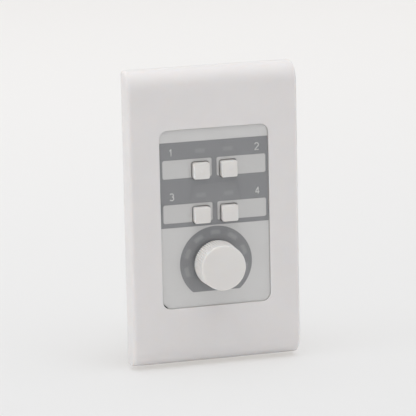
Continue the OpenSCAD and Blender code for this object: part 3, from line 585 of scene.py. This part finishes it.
turned = knob_rule.node("GeometryNodeMergeByDistance", sockets={
    "Geometry": laid_round, "Distance": WELD})

# %% The knob's webs
web_block = knob_rule.node("GeometryNodeMeshCube", sockets={"Size": knob_rule.vector(
    knob_rule.size("Web_reach"), knob_rule.size("Web_depth"), knob_rule.size("Web_width"))})
web = knob_rule.node("GeometryNodeTransform", sockets={
    "Geometry": web_block, "Translation": knob_rule.vector(knob_rule.size("Web_place"))})
web_spots = knob_rule.node("GeometryNodeMeshLine", sockets={"Count": 4, "Offset": (0, 0, 0)})
web_cross = knob_rule.node("GeometryNodeInstanceOnPoints", sockets={
    "Points": web_spots, "Instance": web, "Rotation": knob_rule.vector(y=index * (math.pi / 2))})
webs = knob_rule.node("GeometryNodeTransform", sockets={
    "Geometry": web_cross,
    "Translation": knob_rule.vector(y=knob_rule.size("Web_y"), z=knob_rule.size("Axis_z"))})
knob_rule.end(knob_rule.join(turned, webs), key_white)

# %% Turn the knob
KNOB_TIP, KNOB_BACK, KNOB_ROUND, KNOB_BAND = -19.9, -10.4, 0.5, 0.8
NOSE_R, ROOT_R, WALL_R, BOSS_R, BORE_R = 9.15, 9.05, 7.9, 5.0, 3.05
CEILING, BOSS_END, RIB_START, ROOT_DRAFT, EDGE = -18.2, -11.7, 0.49, 0.12, 0.12
FACE_RINGS, ROUND_STEPS, RIB_STEPS = (0, 3, 6), 8, 6

knob_profile = [(radius, KNOB_TIP, 0) for radius in FACE_RINGS]
for step in range(ROUND_STEPS + 1):
    angle = math.pi / 2 * step / ROUND_STEPS
    knob_profile.append((NOSE_R - KNOB_ROUND * (1 - math.sin(angle)),
                         KNOB_TIP + KNOB_ROUND * (1 - math.cos(angle)), 0))
ribs_front = KNOB_TIP + KNOB_BAND
knob_profile.append((NOSE_R, ribs_front, 0))
rib_length = KNOB_BACK - ribs_front - 2 * EDGE
for step in range(RIB_STEPS + 1):
    share = step / RIB_STEPS
    knob_profile.append((ROOT_R - ROOT_DRAFT * (1 - share), ribs_front + EDGE + share * rib_length,
                         RIB_START + share * (1 - RIB_START)))
knob_profile += [
    (ROOT_R - EDGE, KNOB_BACK, 1), (WALL_R + EDGE, KNOB_BACK, 0), (WALL_R, KNOB_BACK - EDGE, 0),
    (WALL_R, CEILING, 0), (BOSS_R, CEILING, 0), (BOSS_R, BOSS_END, 0), (BORE_R, BOSS_END, -1),
    (BORE_R, CEILING, -1), (0, CEILING, 0)]
knob = knob_rule.grow("knob", [(radius * MM, y * MM, rule) for radius, y, rule in knob_profile])
smooth_by_angle(knob)
finished(knob, key_white, "volume_dial", "key_plastic", "volume_knob")

# %% [markdown]
# ## The sprung contacts
# Eight gold-plated wires slope down from the roof of each network socket, where a plug presses
# them back. One wire's path is a chain of three points. The tree rounds its bend, sweeps a round
# section along it, and repeats the wire eight times for a socket and then twice for the pair.

# %% Finish for metals
SPANGLE_DARK, SPANGLE_DULL, SPANGLE_DEPTH = 0.86, 0.18, 0.004


def plated_metal(name, colour, roughness, spangle_mm, stretch=(1, 1, 1)):
    finish = Finish(name, Metallic=1.0)
    spangle = finish.noise(spangle_mm, 2, stretch)
    finish.set(Base_Color=finish.blend(spangle, grey(SPANGLE_DARK, colour), grey(1, colour)),
               Roughness=roughness + (spangle - 0.5) * SPANGLE_DULL)
    finish.bump(spangle, SPANGLE_DEPTH, 0.5)
    return finish


contact_gold = plated_metal("contact_gold", (0.83, 0.58, 0.22), 0.2, 0.4)

# %% Bend the contacts
SOCKET_Z, SOCKET_PITCH, CONTACT_PITCH = -16.0, 18.4, 1.02
WIRE_PATH, BEND_STEPS, WIRE_SIDES = ((27.5, 4.2), (26.0, 4.2), (17.0, 2.9)), 6, 10

contact_rule = Recipe(
    "sprung_contacts", Wires=8, Pitch=CONTACT_PITCH * MM, Sockets=2,
    Socket_pitch=SOCKET_PITCH * MM, Wire_radius=0.18 * MM, Bend=1.5 * MM)
path = contact_rule.node("GeometryNodeFilletCurve", {"mode": "POLY"}, {
    "Curve": contact_rule.node("GeometryNodeMeshToCurve", sockets={"Mesh": contact_rule.chain}),
    "Radius": contact_rule.size("Bend"), "Count": BEND_STEPS})
section = contact_rule.node("GeometryNodeCurvePrimitiveCircle", sockets={
    "Resolution": WIRE_SIDES, "Radius": contact_rule.size("Wire_radius")})
wire = contact_rule.node("GeometryNodeCurveToMesh", sockets={
    "Curve": path, "Profile Curve": section, "Fill Caps": True})


def row(rule, shape, count, pitch):
    """Repeats a shape along X, centred on the middle."""
    spots = rule.node("GeometryNodeMeshLine", sockets={
        "Count": count, "Start Location": rule.vector((1 - count) * pitch / 2),
        "Offset": rule.vector(pitch)})
    return rule.node("GeometryNodeInstanceOnPoints", sockets={"Points": spots, "Instance": shape})


one_socket = row(contact_rule, wire, contact_rule.size("Wires"), contact_rule.size("Pitch"))
both_sockets = row(
    contact_rule, one_socket, contact_rule.size("Sockets"), contact_rule.size("Socket_pitch"))
contact_rule.end(both_sockets, contact_gold)
contacts = contact_rule.grow(
    "contacts", [(0, y * MM, (SOCKET_Z + z) * MM) for y, z in WIRE_PATH])
smooth_by_angle(contacts, 50)
finished(contacts, contact_gold, "panel", "contact_gold", "socket_contacts")

# %% [markdown]
# ## The hidden side
# Behind the wall plate are a zinc-plated yoke, a dark textured housing, two network sockets and
# an address switch. They get their own finishes, because the part is looked at from every side: a
# coarse grain on the dark mouldings, a spangled plating on the steel, a satin sheen on the
# sockets.

# %% Dark plastics
DARK_CLOUD, DARK_LOW, DARK_HIGH, DARK_DULL = 12, 0.9, 1.1, 0.2
COLD_BLACK = (0.98, 1, 1.03)


def dark_plastic(name, tone, roughness, grain_mm, depth_mm):
    finish = Finish(name, IOR=1.5)
    grain = finish.noise(grain_mm, 3)
    cloud = finish.noise(DARK_CLOUD, 2)
    finish.set(
        Base_Color=finish.blend(cloud, grey(tone * DARK_LOW), grey(tone * DARK_HIGH, COLD_BLACK)),
        Roughness=roughness + (grain - 0.5) * DARK_DULL)
    finish.bump(grain, depth_mm, 0.6)
    return finish


dress(dark_plastic("housing_black", 0.022, 0.6, 0.45, 0.03), "rear_housing", "inner_chassis")
dress(dark_plastic("socket_black", 0.016, 0.32, 0.3, 0.004), "network_socket_1", "network_socket_2")
dress(dark_plastic("chip_black", 0.012, 0.5, 0.2, 0.004), "switch_bodies", "pin_header",
      "header_socket", "led_driver_chip", "controller_chip",
      *["switch_plunger_%d" % number for number in range(1, 5)])

# %% [markdown]
# ## The pry slot
# Where the window's lower left corner is cut, a short slot is left between it and the cover, and
# it looks black because no light comes out of it. The solids leave the gap open down to the white
# floor of the cover, which throws the light back. A thin dark sliver at the bottom of the gap,
# with the cover's round on one side and the window's straight cut on the other, is painted shade:
# no such part is in the panel, and it swallows that light to stand in for the slot's shadow.

# %% Fill the slot with painted shade
SLOT_CLEAR, SLOT_ANGLE, SLOT_SPREAD, SLOT_FRONT, SLOT_BACK = 0.05, 225, 20, -9.4, -8.82
COVER_GAP = 0.2

slot_corner = (LENS_R - LENS_W / 2, LENS_R - LENS_H / 2)
slot_r = LENS_R + COVER_GAP - SLOT_CLEAR
painted_shade_outline = arc(
    slot_corner, (slot_r, slot_r), SLOT_ANGLE - SLOT_SPREAD, SLOT_ANGLE + SLOT_SPREAD)
painted_shade_outline += reversed(cut_corner(painted_shade_outline, corner_reach + SLOT_CLEAR))
# A black sheet where the slot has only shadow: painted shade, not a part of the panel.
painted_slot_shade = dark_plastic("painted_slot_shade", 0.01, 0.8, 0.2, 0.004)
painted_shade_sliver = flat_sheet("pry_slot_painted_shade", [painted_shade_outline], SLOT_FRONT, SLOT_BACK, 0)
finished(painted_shade_sliver, painted_slot_shade, "panel", "black_plastic")

# %% Metals
dress(plated_metal("zinc_sheet", (0.58, 0.59, 0.61), 0.36, 3.0, (1, 1, 0.35)), "mounting_yoke")
dress(plated_metal("zinc_screw", (0.62, 0.62, 0.63), 0.3, 0.6),
      "chassis_screws", "front_board_screws", "main_board_screws", "housing_screws")
dress(plated_metal("turned_metal", (0.66, 0.66, 0.67), 0.26, 0.5, (1, 8, 1)),
      "encoder_body", "encoder_shaft", "capacitors")

# %% Boards and lights
board_green = Finish("board_green", Coat_Weight=0.5, Coat_Roughness=0.15, Roughness=0.4)
weave = board_green.noise(0.8, 2, (1, 1, 4))
board_green.set(Base_Color=board_green.blend(
    weave, (0.006, 0.055, 0.022, 1), (0.010, 0.085, 0.035, 1)))
dress(board_green, "front_board", "main_board")

guide_clear = Finish("guide_clear", IOR=1.49, Transmission_Weight=0.85, Roughness=0.2)
guide_cloud = guide_clear.noise(1.5, 2)
guide_clear.set(Base_Color=guide_clear.blend(guide_cloud, grey(0.8), grey(0.9)))
dress(guide_clear, "button_light_guides", "level_light_guide")

light_resin = Finish("light_resin", Roughness=0.25)
resin_cloud = light_resin.noise(0.5, 2)
light_resin.set(Base_Color=light_resin.blend(
    resin_cloud, (0.7, 0.68, 0.35, 1), (0.8, 0.78, 0.5, 1)))
dress(light_resin, "button_leds", "level_leds")

# %% The address switch
switch_blue = Finish("switch_blue", IOR=1.5)
blue_grain = switch_blue.noise(0.25, 2)
switch_blue.set(
    Base_Color=switch_blue.blend(blue_grain, (0.012, 0.045, 0.17, 1), (0.016, 0.058, 0.21, 1)),
    Roughness=0.35 + 0.15 * blue_grain)
dress(switch_blue, "dip_switch_body")
dress(moulded_white("lever_white", 0.72, (1, 1, 0.99), 0.45, 0.15, 0.003),
      *["dip_lever_%d" % number for number in range(1, 7)])

# %% [markdown]
# ## The studio
# The panel stands on a pale sweep that rises behind it. A very large soft lamp overhead makes its
# rolled top the brightest part, a weaker one lights its left side, and a weak, low one in front
# opens the right-hand edge. The sky fills the shadows evenly. The panel is held a hair above the
# paper, so its shadow has no hard line. To the camera the paper glows, more at the back than in
# front, as a lit backdrop does; the glow lights nothing, and the paper keeps the panel's shadow.

# %% Sweep
LIFT = 1.1
FLOOR_Z = cad_low.z - LIFT * MM
SWEEP_WIDTH, SWEEP_FRONT, SWEEP_BACK, SWEEP_R, SWEEP_TOP = 8.0, -3.0, 2.5, 0.6, 3.0
SWEEP_STEPS = 16

profile = [(SWEEP_FRONT, 0.0), (SWEEP_BACK, 0.0)]
for step in range(1, SWEEP_STEPS + 1):
    angle = math.pi / 2 * step / SWEEP_STEPS
    profile.append((SWEEP_BACK + SWEEP_R * math.sin(angle), SWEEP_R * (1 - math.cos(angle))))
profile.append((SWEEP_BACK + SWEEP_R, SWEEP_TOP))
sweep_mesh = bpy.data.meshes.new("sweep")
sweep_mesh.from_pydata(
    [(side * SWEEP_WIDTH / 2, y, FLOOR_Z + z) for y, z in profile for side in (-1, 1)], [],
    [(2 * k, 2 * k + 1, 2 * k + 3, 2 * k + 2) for k in range(len(profile) - 1)])
sweep_mesh.shade_smooth()
sweep = bpy.data.objects.new("sweep", sweep_mesh)
bpy.context.scene.collection.objects.link(sweep)
print("sweep", SWEEP_WIDTH, "m wide,", LIFT, "mm under the panel")

# %% Paper
GLOW_SHARE, GLOW_FRONT, GLOW_BACK = 0.65, -350, 900
LIT_PAPER_COOL, SHADOW_WARM_GLOW = (0.86, 0.93, 1.0), (1.0, 0.95, 0.90)
SEEN_TONES, UNSEEN_TONES, GLOW_TONES = (0.97, 0.99), (0.93, 0.95), (0.755, 0.97)
PAPER_CLOUD = 400

paper = Finish("sweep_paper", Roughness=0.9, Specular_IOR_Level=0.2)
paper_cloud = paper.noise(PAPER_CLOUD, 2)
_, floor_y, _ = paper.axes()
to_camera, in_gloss, through_glass = (
    paper.node("ShaderNodeLightPath", output="Is %s Ray" % kind)
    for kind in ("Camera", "Glossy", "Transmission"))
# The camera sees the lit paper as cool and the glow below as warm, so where the panel shades the
# paper only the warm glow stays. That gives its shadow a painted warm tone.
paper.set(Base_Color=paper.blend(
    to_camera, paper.blend(paper_cloud, *(grey(tone) for tone in UNSEEN_TONES)),
    paper.blend(paper_cloud, *(grey(tone, LIT_PAPER_COOL) for tone in SEEN_TONES))))
# The glow is painted light. It brightens the paper towards the back as a lit backdrop would, and it
# lights nothing.
glow = paper.node("ShaderNodeEmission", sockets={"Color": paper.blend(
    paper.between(floor_y, GLOW_FRONT, GLOW_BACK), *(grey(tone, SHADOW_WARM_GLOW) for tone in GLOW_TONES))})
paper_surface = paper.node("ShaderNodeMixShader", sockets={
    0: GLOW_SHARE * (to_camera + in_gloss + through_glass),
    1: Wire(paper, paper.shader.outputs[0]), 2: glow})
paper.fill(paper.nodes["Material Output"].inputs["Surface"], paper_surface)
sweep_mesh.materials.append(paper.material)
print("paper glows to the camera with a share of", GLOW_SHARE)

# %% Lamps and sky
SKY_STRENGTH = 0.41


def soft_lamp(name, place, size, power):
    """A round lamp that points at the panel's middle."""
    lamp = bpy.data.lights.new(name, "AREA")
    lamp.shape, lamp.size, lamp.energy = "DISK", size, power
    holder = bpy.data.objects.new(name, lamp)
    bpy.context.scene.collection.objects.link(holder)
    holder.location = place
    holder.rotation_mode = "QUATERNION"
    holder.rotation_quaternion = Vector(place).to_track_quat("Z", "Y")
    print(name, "at", place, "with", power, "W")


soft_lamp("overhead", (0, -0.08, 1.45), 2.2, 20.5)
soft_lamp("left_fill", (-1.4, -0.1, 0.35), 0.6, 4.2)
soft_lamp("right_fill", (0.9, -1.2, 0.17), 0.45, 2.2)

sky = bpy.data.worlds.new("sky")
bpy.context.scene.world = sky
sky.use_nodes = True
sky.node_tree.nodes["Background"].inputs["Color"].default_value = grey(1.0)
sky.node_tree.nodes["Background"].inputs["Strength"].default_value = SKY_STRENGTH
bpy.context.scene.view_settings.view_transform = "Standard"
